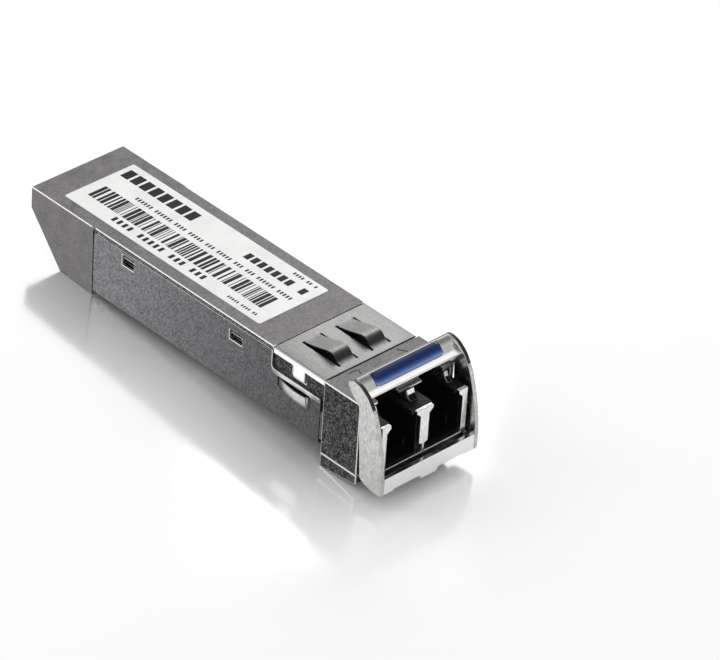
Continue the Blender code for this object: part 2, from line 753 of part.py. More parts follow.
def latch_lever():
    """The rocker under the nose: its boss locks in the cage, and the bail presses its toe down."""
    hub = arc(LEVER_PIVOT, 0.72, 125, 30, 6)
    under = arc(LEVER_PIVOT, 0.72, -60, -125, 6)
    back = LEVER_PIVOT[0] - 1.3
    outline = [
        (42.5, 0.5),
        (46.6, 0.5),
        (47.3, 0.35),
        (48.3, -0.45),
        *hub,
        (51.6, -1.3),
        (52.6, -1.5),
        (54.0, -1.5),
        (54.1, -1.65),
        (54.0, -1.95),
        (52.4, -1.95),
        *under,
        (back, -1.45),
        (47.9, -0.6),
        (47.1, 0.02),
        (BOSS_SHOULDER, 0.02),
        (BOSS_SHOULDER, BOSS_BOTTOM),
        (43.7, BOSS_BOTTOM),
        (42.5, -0.05),
    ]
    lever = prism("latch_lever", outline, "x", -LEVER_HALF, LEVER_HALF, CAST_ZINC)
    cut(lever, prism("lever_bore", circle(LEVER_PIVOT, 0.38), "x", -2, 2))
    return lever


def latch_spring():
    """A leaf that lies on the floor's end and presses the boss down."""
    leaf = [(40.6, 1.42), (43.4, 1.42), (44.3, 1.2), (45.2, 0.85), (45.8, 0.66), (46.2, 0.66)]
    return prism("latch_spring", band(leaf, 0.12), "x", -0.9, 0.9, SPRING_STEEL)


# ---------------------------------------------------------------- assembly


def clear_scene():
    for obj in list(bpy.data.objects):
        bpy.data.objects.remove(obj, do_unlink=True)


def main():
    clear_scene()
    upper_housing()
    lower_housing()
    wrap_shell()
    emi_clip()
    receptacle()
    port_frame()
    optics("left", -1, "transmit")
    optics("right", 1, "receive")
    stub = [(44.05, 0), (44.05, 0.615), (46.0, 0.615), (46.0, 0)]
    turned("fibre_stub", stub, -PORT_PITCH / 2, CERAMIC, 24)
    barrel_clamp()
    circuit_board()
    board_parts()
    box("label", (-5.05, 5.05), (3.65, 35.4), (BODY_TOP + 0.005, BODY_TOP + 0.065), LABEL_FILM)
    both_sides(pivot_pin)
    prism("lever_pin", circle(LEVER_PIVOT, 0.35), "x", -3.0, 3.0, PIN_STEEL)
    pivot_at(latch_lever(), LEVER_PIVOT)
    latch_spring()
    pivot_at(bail_frame(), BAIL_PIVOT)
    grip = prism("bail_grip", grip_outline(0), "x", -GRIP_HALF, GRIP_HALF, BLUE_MOULDING)
    pivot_at(grip, BAIL_PIVOT)


main()
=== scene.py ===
# %% [markdown]
# # A pluggable optical transceiver, finished for rendering
#
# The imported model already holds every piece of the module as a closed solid. This script gives
# each piece the surface the real one has: cast zinc, folded steel, bright nickel, mouldings, a
# printed label. Where an edge or a small shape matters to the eye, a new piece stands for the
# plain solid.

# %% Load the frame
import math

import bmesh
import bpy
import numpy as np
from mathutils import Matrix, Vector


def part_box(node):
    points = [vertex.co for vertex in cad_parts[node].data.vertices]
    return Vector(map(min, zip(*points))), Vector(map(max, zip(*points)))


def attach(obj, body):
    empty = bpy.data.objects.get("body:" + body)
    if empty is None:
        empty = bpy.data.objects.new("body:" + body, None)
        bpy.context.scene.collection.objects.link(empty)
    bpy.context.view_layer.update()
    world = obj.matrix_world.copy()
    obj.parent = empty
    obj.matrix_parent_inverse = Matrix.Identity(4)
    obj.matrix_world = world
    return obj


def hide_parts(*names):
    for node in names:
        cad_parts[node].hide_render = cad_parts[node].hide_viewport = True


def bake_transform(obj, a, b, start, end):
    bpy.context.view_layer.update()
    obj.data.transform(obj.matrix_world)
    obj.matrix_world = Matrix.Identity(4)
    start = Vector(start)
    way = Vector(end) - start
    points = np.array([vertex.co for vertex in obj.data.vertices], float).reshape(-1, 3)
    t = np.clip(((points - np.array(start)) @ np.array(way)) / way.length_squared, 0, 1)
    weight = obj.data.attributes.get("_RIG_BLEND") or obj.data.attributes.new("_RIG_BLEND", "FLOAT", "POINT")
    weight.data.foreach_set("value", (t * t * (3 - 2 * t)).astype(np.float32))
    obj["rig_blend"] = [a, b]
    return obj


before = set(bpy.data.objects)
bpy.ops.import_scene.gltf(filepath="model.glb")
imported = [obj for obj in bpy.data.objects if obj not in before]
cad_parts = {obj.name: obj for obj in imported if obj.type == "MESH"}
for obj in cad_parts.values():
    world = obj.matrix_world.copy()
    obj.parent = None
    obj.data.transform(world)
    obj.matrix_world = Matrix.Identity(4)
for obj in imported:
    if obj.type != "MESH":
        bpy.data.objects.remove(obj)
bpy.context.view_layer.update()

# %% [markdown]
# ## Places on the module
#
# A maker measures a module from its rear end and from its underside. `place` turns such lengths,
# in millimetres, into the frame's metres, for whole arrays at once.

# %% Places
MM = 0.001
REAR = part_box("upper_housing")[1].y / MM
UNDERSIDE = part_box("wrap_shell")[0].z / MM
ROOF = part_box("upper_housing")[1].z / MM - UNDERSIDE


def place(x, d, h):
    """Points at x across, d from the rear end, h above the underside: (x, rear - d, underside + h)."""
    x, d, h = np.broadcast_arrays(np.asarray(x, float), d, h)
    return np.stack([x, REAR - d, UNDERSIDE + h], axis=-1) * MM


print(f"rear {REAR:.2f}, underside {UNDERSIDE:.2f}, roof {ROOF:.2f} mm")

# %% [markdown]
# ## The camera
#
# A long lens from well back keeps the module's long edges almost parallel, as in a catalogue. The
# camera stands in front, to the left and above. Its directions come from an azimuth, an elevation
# and a roll, and `standing` makes a matrix of them, here and for the lamps.

# %% Camera
CAMERA_PLACE = (-0.33120, -0.34408, 0.33391)
AZIMUTH, ELEVATION, ROLL = np.radians([-45.354, 34.546, 3.793])
SENSOR_WIDTH, FOCAL_LENGTH = 36, 268.14


def standing(position, side, upward, back):
    """The matrix of an object at a place, with its X, Y and Z axes along three directions."""
    axes = Matrix(np.column_stack([side, upward, back]).tolist()).to_4x4()
    return Matrix.Translation(position) @ axes


flat = math.cos(ELEVATION)
back = np.array([math.sin(AZIMUTH) * flat, -math.cos(AZIMUTH) * flat, math.sin(ELEVATION)])
level = np.cross([0, 0, 1], back)
level /= np.linalg.norm(level)
plumb = np.cross(back, level)
across = level * math.cos(ROLL) + plumb * math.sin(ROLL)
upward = plumb * math.cos(ROLL) - level * math.sin(ROLL)
lens = bpy.data.cameras.new("camera")
lens.sensor_width = SENSOR_WIDTH
lens.lens = FOCAL_LENGTH
lens.clip_start, lens.clip_end = 0.01, 20
camera = bpy.data.objects.new("camera", lens)
camera.matrix_world = standing(CAMERA_PLACE, across, upward, back)
bpy.context.scene.collection.objects.link(camera)
bpy.context.scene.camera = camera
print("camera back direction", back.round(3))

# %% [markdown]
# ## Nodes with little typing
#
# Every finish here is a small graph: noise in the object's own coordinates drives the colour, the
# roughness and a bump. `Finish` keeps one material's graph and makes its nodes and links in a
# line each, so the finishes below read as recipes. Lengths are in millimetres, because grain is
# easier to think of that way.
#
# Use leaves its marks in known places, so a finish can also ask where a point is: `aside` tells
# by its distance from the middle plane, `along` by its distance from the rear end, and `above` by
# its height over the underside. `paint` then lays a colour there.


# %% Finish
class Finish:
    def __init__(self, name, color, metallic=0.0, roughness=0.5, **sockets):
        self.material = bpy.data.materials.new(name)
        self.material.use_nodes = True
        self.nodes = self.material.node_tree.nodes
        self.links = self.material.node_tree.links
        self.shader = self.nodes["Principled BSDF"]
        self.relief = None
        self.split = None
        sockets = {"Base Color": (*color, 1), "Metallic": metallic, "Roughness": roughness, **sockets}
        for socket, value in sockets.items():
            self.shader.inputs[socket].default_value = value

    def link(self, source, socket):
        self.links.new(source, socket)

    def position(self, scale=(1, 1, 1)):
        """Object coordinates in millimetres, stretched along each axis."""
        coordinates = self.nodes.new("ShaderNodeTexCoord")
        mapping = self.nodes.new("ShaderNodeMapping")
        mapping.inputs["Scale"].default_value = [s / MM for s in scale]
        self.link(coordinates.outputs["Object"], mapping.inputs["Vector"])
        return mapping.outputs["Vector"]

    def axes(self):
        """The x, y and z of a point, in millimetres, with x taken without its sign."""
        if self.split is None:
            node = self.nodes.new("ShaderNodeSeparateXYZ")
            self.link(self.position(), node.inputs[0])
            x, y, z = node.outputs
            self.split = self.math("ABSOLUTE", x), y, z
        return self.split

    def noise(self, size, detail=2.0, rough=0.5, scale=(1, 1, 1)):
        """Clouds whose lumps are about this many millimetres across, from 0 to 1."""
        node = self.nodes.new("ShaderNodeTexNoise")
        node.inputs["Scale"].default_value = 1 / size
        node.inputs["Detail"].default_value = detail
        node.inputs["Roughness"].default_value = rough
        self.link(self.position(scale), node.inputs["Vector"])
        return node.outputs["Fac"]

    def remap(self, source, low, high, start=0.0, end=1.0):
        """Carries the range low..high of a source onto start..end, and holds the ends beyond it."""
        node = self.nodes.new("ShaderNodeMapRange")
        names = ("From Min", "From Max", "To Min", "To Max")
        for socket, value in zip(names, (low, high, start, end)):
            node.inputs[socket].default_value = value
        self.link(source, node.inputs["Value"])
        return node.outputs["Result"]

    def aside(self, low, high, start=0.0, end=1.0):
        """Carries the distance from the middle plane onto start..end."""
        return self.remap(self.axes()[0], low, high, start, end)

    def along(self, low, high, start=0.0, end=1.0):
        """Carries the distance from the rear end onto start..end."""
        return self.remap(self.axes()[1], REAR - low, REAR - high, start, end)

    def above(self, low, high, start=0.0, end=1.0):
        """Carries the height over the underside onto start..end."""
        return self.remap(self.axes()[2], UNDERSIDE + low, UNDERSIDE + high, start, end)

    def ramp(self, source, *stops):
        """A colour from a value: stops are (position, colour)."""
        node = self.nodes.new("ShaderNodeValToRGB")
        elements = node.color_ramp.elements
        while len(elements) < len(stops):
            elements.new(0.5)
        for element, (position, color) in zip(elements, stops):
            element.position = position
            element.color = (*color, 1)
        self.link(source, node.inputs["Fac"])
        return node.outputs["Color"]

    def math(self, operation, one, two=0.0):
        node = self.nodes.new("ShaderNodeMath")
        node.operation = operation
        for socket, value in zip(node.inputs, (one, two)):
            if isinstance(value, (int, float)):
                socket.default_value = value
            else:
                self.link(value, socket)
        return node.outputs[0]

    def product(self, first, *others):
        for other in others:
            first = self.math("MULTIPLY", first, other)
        return first

    def weigh(self, *terms):
        """The sum of sources times their weights: terms are (source, weight)."""
        total, *others = [self.math("MULTIPLY", source, weight) for source, weight in terms]
        for other in others:
            total = self.math("ADD", total, other)
        return total

    def blend(self, factor, one, two, kind="MIX"):
        """Mixes two colours by a factor."""
        node = self.nodes.new("ShaderNodeMix")
        node.data_type = "RGBA"
        node.blend_type = kind
        colors = [socket for socket in node.inputs if socket.type == "RGBA"]
        for socket, value in zip([node.inputs["Factor"], *colors], (factor, one, two)):
            if isinstance(value, (int, float)):
                socket.default_value = value
            elif isinstance(value, tuple):
                socket.default_value = (*value, 1)
            else:
                self.link(value, socket)
        return next(socket for socket in node.outputs if socket.type == "RGBA")

    def base(self):
        """What now feeds the shader's colour."""
        return self.shader.inputs["Base Color"].links[0].from_socket

    def colour(self, source):
        self.link(source, self.shader.inputs["Base Color"])
        return self

    def paint(self, share, color):
        """Lays a colour over what is there, by a share of 0..1."""
        return self.colour(self.blend(share, self.base(), color))

    def rough(self, source):
        self.link(source, self.shader.inputs["Roughness"])
        return self

    def bump(self, source, depth):
        """Adds relief: a source of 0..1 stands this many millimetres high, on what is there."""
        node = self.nodes.new("ShaderNodeBump")
        node.inputs["Distance"].default_value = depth * MM
        self.link(source, node.inputs["Height"])
        if self.relief is not None:
            self.link(self.relief, node.inputs["Normal"])
        self.relief = node.outputs["Normal"]
        self.link(self.relief, self.shader.inputs["Normal"])
        return self


# %% [markdown]
# ## Cast zinc
#
# Both housings are pressure die castings, shot-blasted and thinly plated. Blasting leaves a fine
# salt-and-pepper grain, and the plating takes unevenly, so there are soft clouds a millimetre or
# two across. One noise makes each, and the grain also goes into the bump. The walls of the nose
# have a coarser grain, much higher in contrast, and their colour is painted darker as shade. The
# long edges slide along the cage and wear bright, so the castings have a third finish, for their
# rounded edges only, which also paints them brighter as a highlight.


# %% Cast zinc
def cast_zinc(name, dark, light, grain, clouds, spread=0.13, middle=0.5):
    """A casting's finish: clouds of tone, a grain of the given size, and a rough metal."""
    finish = Finish(name, light, metallic=0.85, roughness=0.5)
    speckle = finish.noise(grain, detail=3, rough=0.8)
    cloud = finish.noise(1.7, detail=3, rough=0.6)
    tone = finish.weigh((speckle, 1 - clouds), (cloud, clouds))
    finish.colour(finish.ramp(tone, (middle - spread, dark), (middle + spread, light)))
    finish.rough(finish.remap(cloud, 0.3, 0.7, 0.44, 0.56))
    finish.bump(speckle, grain * 0.22).bump(cloud, 0.03)
    return finish


BODY_TONES = (0.115, 0.110, 0.110), (0.235, 0.228, 0.226)
# The nose finish is painted darker as shade; its coarse, high-contrast grain is its own.
NOSE_SHADE_TONES = (0.003, 0.003, 0.003), (0.175, 0.165, 0.165)
body_zinc = cast_zinc("cast_zinc", *BODY_TONES, grain=0.24, clouds=0.40)
shaded_nose_zinc = cast_zinc("cast_zinc_nose_shaded", *NOSE_SHADE_TONES, grain=0.25, clouds=0.08, spread=0.085, middle=0.54)
# Rounded edges: worn bright along the long sides, and painted brighter still as a highlight.
worn_highlight_zinc = cast_zinc("worn_highlight_zinc", *BODY_TONES, grain=0.24, clouds=0.40)
worn_highlight_zinc.rough(worn_highlight_zinc.remap(worn_highlight_zinc.noise(0.4), 0.3, 0.7, 0.25, 0.4))
LONG_EDGES, SKIRT_END = (6.1, 6.3), 10.4  # the skirts' front edge lies in the wrap's lee and stays dull
from_skirt = worn_highlight_zinc.math("SUBTRACT", worn_highlight_zinc.axes()[1], REAR - SKIRT_END)
clear_of_skirt = worn_highlight_zinc.remap(worn_highlight_zinc.math("ABSOLUTE", from_skirt), 0.15, 0.35, 0.05, 1.0)
worn_highlight_zinc.paint(worn_highlight_zinc.product(worn_highlight_zinc.aside(*LONG_EDGES), clear_of_skirt), (0.80, 0.79, 0.78))
print("castings:", body_zinc.material.name, shaded_nose_zinc.material.name, worn_highlight_zinc.material.name)

# %% [markdown]
# ## Steel sheet and nickel
#
# The wrap is cold-rolled steel with a dull tin-nickel plate: finer than the casting, a little
# bluer, with faint streaks along the rolling direction. The contact clip is the same idea in a
# brighter spring steel. The bail and the port frame are tumbled and nickel plated: bright, but
# never a mirror, because tumbling leaves shallow dents and a cloudy polish. So their roughness
# wanders and a soft bump bends the reflections.


# %% Sheet finishes
def plated_sheet(name, dark, light, roughness, grain, streak=0.35, metallic=0.9):
    """Plated sheet: clouds, a fine grain and streaks stretched along the length."""
    finish = Finish(name, light, metallic=metallic, roughness=roughness)
    speckle = finish.noise(grain, detail=2, rough=0.6)
    streaks = finish.noise(0.25, detail=2, scale=(1, 0.12, 1))
    cloud = finish.noise(1.1, detail=3, rough=0.6)
    tone = finish.weigh((streaks, streak), (speckle, 0.65 - streak / 2), (cloud, 0.35 - streak / 2))
    finish.colour(finish.ramp(tone, (0.38, dark), (0.62, light)))
    finish.rough(finish.remap(cloud, 0.3, 0.7, roughness - 0.05, roughness + 0.06))
    finish.bump(speckle, grain * 0.12).bump(cloud, 0.012)
    return finish


def tumbled_nickel(name, dark, light, roughness, dents):
    """Tumbled and plated: broad clouds of polish, fine scratches and shallow dents."""
    finish = Finish(name, light, metallic=1.0, roughness=roughness)
    cloud = finish.noise(0.9, detail=3, rough=0.5)
    fine = finish.noise(0.16, detail=2, scale=(1, 1, 0.35))
    tone = finish.weigh((cloud, 0.35), (fine, 0.65))
    finish.colour(finish.ramp(tone, (0.36, dark), (0.64, light)))
    finish.rough(finish.remap(cloud, 0.3, 0.7, roughness - 0.04, roughness + 0.06))
    finish.bump(cloud, dents).bump(fine, 0.004)
    return finish


wrap_steel = plated_sheet(
    "wrap_steel", (0.070, 0.070, 0.074), (0.190, 0.192, 0.198), 0.46, 0.26, streak=0.10
)
worn_highlight_steel = plated_sheet("worn_highlight_steel", (0.60, 0.60, 0.60), (0.85, 0.85, 0.85), 0.25, 0.15)
clip_steel = plated_sheet(
    "clip_steel", (0.165, 0.163, 0.160), (0.285, 0.281, 0.276), 0.36, 0.16, streak=0.2
)
spring_steel = plated_sheet("spring_steel", (0.30, 0.30, 0.30), (0.42, 0.41, 0.40), 0.35, 0.08)
pin_steel = plated_sheet("pin_steel", (0.50, 0.50, 0.50), (0.66, 0.66, 0.65), 0.24, 0.05)
gold_plate = plated_sheet("gold_plate", (0.66, 0.46, 0.17), (0.86, 0.66, 0.30), 0.26, 0.07, metallic=1.0)
bail_nickel = tumbled_nickel("bail_nickel", (0.37, 0.37, 0.36), (0.63, 0.625, 0.61), 0.22, 0.008)
# Dull sheared edges, painted near black as shade.
shaded_sheared_nickel = tumbled_nickel(
    "shaded_sheared_nickel", (0.030, 0.029, 0.028), (0.085, 0.083, 0.080), 0.34, 0.012
)
frame_nickel = tumbled_nickel("frame_nickel", (0.66, 0.66, 0.65), (0.92, 0.915, 0.905), 0.20, 0.008)
print("sheet finishes:", wrap_steel.material.name, clip_steel.material.name, bail_nickel.material.name)

# %% [markdown]
# ## Wear and painted light on the sheet
#
# The cage rubs what stands proud: the wrap's side fingers and the lip over them are worn, and
# painted brighter as a highlight; the clip's rolled sides carry a painted highlight. The wrap's
# colour is painted darker towards the nose and lighter towards the rear, as shade and light. The
# clip's bridges are steep in front and painted dark there as shade. The bail's crossbar is painted
# bright as a highlight, and only its crest, which faces the room, is painted dark as shade.

# %% Wear and painted light
FINGER_REACH, LIP_LEVEL = (6.73, 6.90), (5.15, 5.30)
# A near-white nickel for painted highlights.
PAINTED_HIGHLIGHT_NICKEL = (0.95, 0.95, 0.94)
# Painted highlight, partly wear: the lip and the proud front of each side finger are painted bright.
lip = wrap_steel.product(
    wrap_steel.above(*LIP_LEVEL),
    wrap_steel.along(41.2, 39.2, 1.0, 0.0),
    wrap_steel.along(46.0, 45.2, 0.25, 1.0),
)
patches = wrap_steel.remap(wrap_steel.noise(0.35, detail=3, rough=0.7), 0.35, 0.55, 0.75, 1.0)
rub_and_highlight = wrap_steel.product(wrap_steel.math("MAXIMUM", lip, wrap_steel.aside(*FINGER_REACH)), patches)
# Painted shade and light: the wrap's colour is multiplied darker towards the nose and lighter towards the
# rear.
painted_shade_along_wrap = wrap_steel.blend(wrap_steel.along(46.0, 14.0), (0.66, 0.66, 0.66), (1.38, 1.38, 1.38))
wrap_steel.colour(wrap_steel.blend(1.0, wrap_steel.base(), painted_shade_along_wrap, "MULTIPLY"))
wrap_steel.paint(rub_and_highlight, (0.70, 0.70, 0.71))

# Painted highlight on the rounded edge along the lip; the wrap's other rounded edges stay dark.
rub_and_highlight = worn_highlight_steel.product(
    worn_highlight_steel.above(*LIP_LEVEL),
    worn_highlight_steel.along(46.8, 46.6),
    worn_highlight_steel.along(11.1, 10.9, 1.0, 0.3),
)
worn_highlight_steel.colour(worn_highlight_steel.blend(rub_and_highlight, (0.11, 0.11, 0.115), worn_highlight_steel.base()))

# Painted shade: the steep fronts of the clip's bridges are painted near black.
bridge_front_shade = clip_steel.product(
    clip_steel.along(44.7, 45.5, 0.0, 0.85),
    clip_steel.above(ROOF + 0.02, ROOF + 0.25),
)
clip_steel.paint(bridge_front_shade, (0.02, 0.02, 0.02))
# Painted highlight: the clip's rolled sides are painted bright nickel.
rolled_side_highlight = clip_steel.product(clip_steel.above(ROOF - 0.08, ROOF - 0.24), clip_steel.aside(6.25, 6.45))
clip_steel.paint(rolled_side_highlight, PAINTED_HIGHLIGHT_NICKEL)

BAR_END = (6.5, 6.6)  # from the crossbar to the side plates
# Painted highlight: the crossbar, short of the side plates, is painted most of the way to bright nickel.
bail_nickel.paint(bail_nickel.aside(*BAR_END, 0.8, 0.0), PAINTED_HIGHLIGHT_NICKEL)
# Painted shade: the crossbar's crest is painted near black.
crest_shade = bail_nickel.product(
    bail_nickel.above(10.7, 11.05, 0.0, 0.85),
    bail_nickel.aside(*BAR_END, 1.0, 0.0),
)
bail_nickel.paint(crest_shade, (0.06, 0.06, 0.058))
print("worn places:", FINGER_REACH, LIP_LEVEL, BAR_END)

# %% [markdown]
# ## Mouldings, label and electronics
#
# The receptacle is a glass-filled black plastic with a spark-eroded grain. The grip is a smooth
# blue one; along its low side a paler band is painted in as a reflection of the light floor. The
# label is a satin polyester film and its ink sits on top. The board has solder mask over copper,
# so a faint weave shows; chips are matt epoxy.


# %% Mouldings and board finishes
def moulding(name, dark, light, roughness, grain, depth, shine=0.5):
    """A moulded plastic: one even colour with a slight drift, and the mould's texture as relief."""
    finish = Finish(name, light, roughness=roughness, **{"Specular IOR Level": shine})
    texture = finish.noise(grain, detail=2, rough=0.6)
    drift = finish.noise(2.5, detail=2)
    finish.colour(finish.ramp(drift, (0.35, dark), (0.65, light)))
    finish.rough(finish.remap(texture, 0.3, 0.7, roughness - 0.04, roughness + 0.06))
    finish.bump(texture, depth)
    return finish


black_moulding = moulding(
    "black_moulding", (0.0015, 0.0015, 0.002), (0.003, 0.003, 0.0035), 0.42, 0.09, 0.004, shine=0.25
)
blue_moulding = moulding(
    "blue_moulding", (0.004, 0.011, 0.062), (0.006, 0.016, 0.090), 0.30, 0.60, 0.001, shine=0.2
)
BEAD_LEVEL = (10.05, 11.2)
# Painted reflection: the paler band low on the bead stands for the light floor it faces.
BEAD_TONES_WITH_PAINTED_REFLECTION = (
    (0.0, (0.020, 0.045, 0.150)),
    (0.26, (0.190, 0.300, 0.520)),
    (0.46, (0.045, 0.090, 0.280)),
    (0.66, (0.006, 0.020, 0.095)),
    (1.0, (0.004, 0.013, 0.070)),
)
blue_moulding.colour(blue_moulding.ramp(blue_moulding.above(*BEAD_LEVEL), *BEAD_TONES_WITH_PAINTED_REFLECTION))
label_film = moulding("label_film", (0.74, 0.74, 0.73), (0.80, 0.80, 0.79), 0.42, 0.12, 0.002)
label_ink = moulding(
    "label_ink", (0.004, 0.004, 0.004), (0.008, 0.008, 0.008), 0.5, 0.10, 0.001, shine=0.2
)
solder_mask = moulding("solder_mask", (0.010, 0.075, 0.030), (0.018, 0.120, 0.050), 0.32, 0.16, 0.006)
chip_epoxy = moulding("chip_epoxy", (0.014, 0.014, 0.015), (0.024, 0.024, 0.026), 0.55, 0.08, 0.008)
ferrite = moulding("ferrite", (0.035, 0.035, 0.038), (0.070, 0.068, 0.066), 0.6, 0.10, 0.01)
ceramic = moulding("ceramic", (0.66, 0.64, 0.58), (0.82, 0.81, 0.77), 0.3, 0.15, 0.002)
amber_film = moulding("amber_film", (0.40, 0.17, 0.03), (0.58, 0.28, 0.06), 0.35, 0.5, 0.003)
thermal_pad = moulding("thermal_pad", (0.28, 0.33, 0.38), (0.40, 0.46, 0.52), 0.85, 0.2, 0.02)
# Painted shade: a near-black for the pockets under the clip, the tops of the catches and the marks on the
# roof.
painted_shade_black = moulding(
    "casting_painted_shade", (0.003, 0.003, 0.003), (0.009, 0.009, 0.009), 0.8, 0.06, 0.003, shine=0.12
)
print("mouldings:", black_moulding.material.name, blue_moulding.material.name, painted_shade_black.material.name)

# %% [markdown]
# ## The studio
#
# The module stands in a light tent: an even pale world, so that metal has something to reflect. A
# soft grey panel high on the right in front gives the bright pieces an edge to reflect, which
# draws their curves. One small lamp on the left behind sits where every long rounded edge mirrors
# it, and one is over the nose.

# %% Light tent
PANEL_FADES = (((0.77, -0.64, 0.0), 0.35, 0.50), ((0.0, 0.0, 1.0), 0.08, 0.30))
TENT_TONE, PANEL_TONE, TENT_STRENGTH = (1.0, 1.0, 1.0, 1), (0.45, 0.45, 0.45, 1), 1.10
world = bpy.data.worlds.new("light_tent")
world.use_nodes = True
tent = world.node_tree.nodes
wires = world.node_tree.links
direction = tent.new("ShaderNodeTexCoord")
panel = tent.new("ShaderNodeMath")
panel.operation = "MULTIPLY"
for (toward, low, high), socket in zip(PANEL_FADES, panel.inputs):
    facing = tent.new("ShaderNodeVectorMath")
    facing.operation = "DOT_PRODUCT"
    facing.inputs[1].default_value = toward
    fade = tent.new("ShaderNodeMapRange")
    fade.interpolation_type = "SMOOTHSTEP"
    fade.inputs["From Min"].default_value, fade.inputs["From Max"].default_value = low, high
    wires.new(direction.outputs["Generated"], facing.inputs[0])
    wires.new(facing.outputs["Value"], fade.inputs["Value"])
    wires.new(fade.outputs["Result"], socket)
cloth = tent.new("ShaderNodeMix")
cloth.data_type = "RGBA"
tent_socket, panel_socket = (socket for socket in cloth.inputs if socket.type == "RGBA")
tent_socket.default_value = TENT_TONE
panel_socket.default_value = PANEL_TONE
wires.new(panel.outputs[0], cloth.inputs["Factor"])
cloth_color = next(socket for socket in cloth.outputs if socket.type == "RGBA")
wires.new(cloth_color, tent["Background"].inputs["Color"])
tent["Background"].inputs["Strength"].default_value = TENT_STRENGTH
bpy.context.scene.world = world
bpy.context.scene.view_settings.view_transform = "Standard"
bpy.context.scene.view_settings.look = "None"


# %% Lamps
def soft_light(name, position, target, size, power):
    """A square lamp at a place in metres that faces a target."""
    lamp = bpy.data.lights.new(name, "AREA")
    lamp.shape = "SQUARE"
    lamp.size = size
    lamp.energy = power
    holder = bpy.data.objects.new(name, lamp)
    away = np.subtract(position, target)
    away = away / np.linalg.norm(away)
    side = np.cross([0, 0, 1], away)
    side /= np.linalg.norm(side)
    holder.matrix_world = standing(position, side, np.cross(away, side), away)
    bpy.context.scene.collection.objects.link(holder)


soft_light("edge_light", (-0.19, 0.19, 0.20), (0.0, 0.0, 0.008), size=0.08, power=0.05)
soft_light("front_light", (0.059, 0.035, 0.068), (0.0, -0.023, 0.011), size=0.035, power=0.010)
print("lamps: 2, tent strength", TENT_STRENGTH)

# %% [markdown]
# ## The floor
#
# The floor is a gloss white sheet, mixed from a soft white and a mirror, so that the module's own
# reflection shows and fades: it is glossiest beside the module and towards the rear. The module
# rests on the nose's block and on the rear skirts, which hang less low, so the sheet is tilted to
# touch both.

# %% Floor
CONTACT_FRONT, CONTACT_REAR = (47.5, -2.4), (5.0, 0.0)  # (d, h) of the two lines it stands on
FLOOR_SPAN, FLOOR_GAP = 900.0, 0.01
slope = (CONTACT_REAR[1] - CONTACT_FRONT[1]) / (CONTACT_REAR[0] - CONTACT_FRONT[0])
corners = np.array([(-1, -1), (1, -1), (1, 1), (-1, 1)]) * FLOOR_SPAN
corner_heights = CONTACT_FRONT[1] - FLOOR_GAP + slope * (corners[:, 1] - CONTACT_FRONT[0])
floor_points = place(corners[:, 0], corners[:, 1], corner_heights)
floor_mesh = bpy.data.meshes.new("floor")
floor_mesh.from_pydata(floor_points.tolist(), [], [(3, 2, 1, 0)])
floor = bpy.data.objects.new("floor", floor_mesh)
bpy.context.scene.collection.objects.link(floor)
gloss = Finish("floor_gloss", (0.95, 0.95, 0.95), roughness=0.9)
mirror = gloss.nodes.new("ShaderNodeBsdfGlossy")
mirror.inputs["Color"].default_value = (1, 1, 1, 1)
mirror.inputs["Roughness"].default_value = 0.14
mixer = gloss.nodes.new("ShaderNodeMixShader")
polish = gloss.product(
    gloss.aside(7.0, 24.0, 0.64, 0.16),
    gloss.along(61.5, 44.5, 0.05, 0.80),
    gloss.along(28.5, 12.5, 1.0, 1.45),
)
gloss.link(polish, mixer.inputs[0])
gloss.link(gloss.shader.outputs[0], mixer.inputs[1])
gloss.link(mirror.outputs[0], mixer.inputs[2])
gloss.link(mixer.outputs[0], gloss.nodes["Material Output"].inputs["Surface"])
floor_mesh.materials.append(gloss.material)
print(f"floor tilt {math.degrees(math.atan(slope)):.2f} degrees")

# %% [markdown]
# ## Rounding the castings and pressings
#
# The solids from the CAD have knife edges. Real castings have small rounds and real sheet has a
# rolled edge, and those rounds are what catches the light. Each such piece is a copy of its
# solid: the loose triangles are merged, flat regions are joined into whole faces, and a Bevel
# modifier rounds the edges that are left.

# %% Rounded copies
MERGE_WITHIN, FLAT_WITHIN = 0.0015, 0.6  # millimetres and degrees


def rounded(node, body, finish, width, segments=2, angle=30, worn=None, extra=()):
    """A copy of a CAD solid with its triangles merged and its edges rounded to a width in millimetres.

    Its material slots are the finish, then the rounded edges' finish, then any others.
    """
    merged = bmesh.new()
    merged.from_mesh(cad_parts[node].data)
    bmesh.ops.remove_doubles(merged, verts=merged.verts, dist=MERGE_WITHIN * MM)
    flat_angle = math.radians(FLAT_WITHIN)
    bmesh.ops.dissolve_limit(merged, angle_limit=flat_angle, verts=merged.verts, edges=merged.edges)
    mesh = bpy.data.meshes.new(f"{node}_rounded")
    merged.to_mesh(mesh)
    merged.free()
    for layer in [a.name for a in mesh.attributes if a.name == "custom_normal"]:
        mesh.attributes.remove(mesh.attributes[layer])
    mesh.materials.clear()
    for each in (finish, worn or finish, *extra):
        mesh.materials.append(each.material)
    mesh.shade_smooth()
    piece = bpy.data.objects.new(f"{node}_rounded", mesh)
    bpy.context.scene.collection.objects.link(piece)
    edges = piece.modifiers.new("edges", "BEVEL")
    edges.width = width * MM
    edges.segments = segments
    edges.limit_method = "ANGLE"
    edges.angle_limit = math.radians(angle)
    edges.use_clamp_overlap = False
    edges.harden_normals = True
    edges.material = 1
    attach(piece, body)
    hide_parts(node)
    return piece


def face_normals(mesh):
    normals = np.empty(len(mesh.polygons) * 3, np.float32)
    mesh.polygons.foreach_get("normal", normals)
    return normals.reshape(-1, 3)


